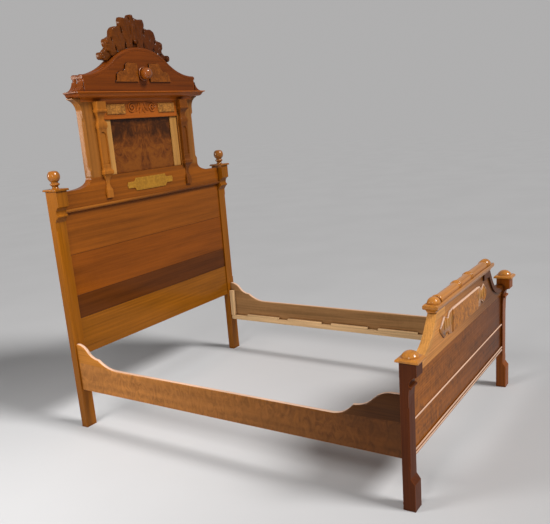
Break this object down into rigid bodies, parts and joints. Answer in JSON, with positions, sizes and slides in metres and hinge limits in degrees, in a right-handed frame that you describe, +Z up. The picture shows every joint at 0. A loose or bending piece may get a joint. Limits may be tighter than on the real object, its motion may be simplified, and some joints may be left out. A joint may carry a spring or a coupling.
{
  "type": "eastlake bed",
  "caption": "High-back walnut bed with arched pediment, carved crest and burl panels; low footboard with a turned roll; side rails that lift off iron hooks.",
  "frame": {"origin": "on the floor under the middle of the bed's bounding box", "axes": "+X across the bed, +Y from the footboard to the headboard, +Z up"},
  "size_m": [1.538, 2.077, 2.298],
  "materials": {
    "walnut": "old varnish, satin to gloss",
    "dark_walnut": "old varnish, gloss",
    "burl_veneer": "varnished burl veneer, gloss",
    "pine": "bare planed softwood, matt",
    "iron": "plain, dulled"
  },
  "bodies": {
    "ends": {"head_post_left": "walnut", "head_post_right": "walnut", "head_board_top": "walnut", "head_board_upper": "walnut", "head_board_lower": "walnut", "shoulder_board": "walnut", "tower_stile_left": "walnut", "tower_stile_right": "walnut", "panel_strip_left": "walnut", "panel_strip_right": "walnut", "frieze_rail": "walnut", "pediment_board": "walnut", "foot_post_left": "walnut", "foot_post_right": "walnut", "foot_board_upper": "walnut", "foot_board_lower": "walnut", "arch_board": "walnut", "cornice_shelf": "walnut", "head_cap_left": "dark_walnut", "head_cap_right": "dark_walnut", "head_finial_left": "dark_walnut", "head_finial_right": "dark_walnut", "head_board_dark": "dark_walnut", "panel_moulding": "dark_walnut", "pilaster_left": "dark_walnut", "pilaster_right": "dark_walnut", "cornice_front": "dark_walnut", "cornice_return_left": "dark_walnut", "cornice_return_right": "dark_walnut", "cornice_bed_mould": "dark_walnut", "cornice_brackets": "dark_walnut", "cornice_end_coves": "dark_walnut", "pediment_edge_top": "dark_walnut", "pediment_edge_ends": "dark_walnut", "crest_carving": "dark_walnut", "frieze_scroll": "dark_walnut", "pediment_boss": "dark_walnut", "foot_cap_left": "dark_walnut", "foot_cap_right": "dark_walnut", "foot_border_left": "dark_walnut", "foot_border_right": "dark_walnut", "foot_top_rail": "dark_walnut", "foot_top_roll": "dark_walnut", "foot_bottom_rail": "dark_walnut", "burl_panel": "burl_veneer", "frieze_tablets": "burl_veneer", "shoulder_cartouche": "burl_veneer", "pediment_plaques": "burl_veneer", "foot_plaque": "burl_veneer", "hook_pins": "iron"},
    "rail_left": {"side_rail_left": "walnut", "slat_ledger_left": "pine", "slat_spacers_left": "pine", "end_blocks_left": "pine", "rail_hooks_left": "iron"},
    "rail_right": {"side_rail_right": "walnut", "slat_ledger_right": "pine", "slat_spacers_right": "pine", "end_blocks_right": "pine", "rail_hooks_right": "iron"}
  },
  "joints": [
    {"name": "left_rail_lift", "type": "slide", "parent": "ends", "child": "rail_left", "axis": [0, 0, 1], "range_m": [0, 0.016]},
    {"name": "right_rail_lift", "type": "slide", "parent": "ends", "child": "rail_right", "axis": [0, 0, 1], "range_m": [0, 0.016]}
  ]
}
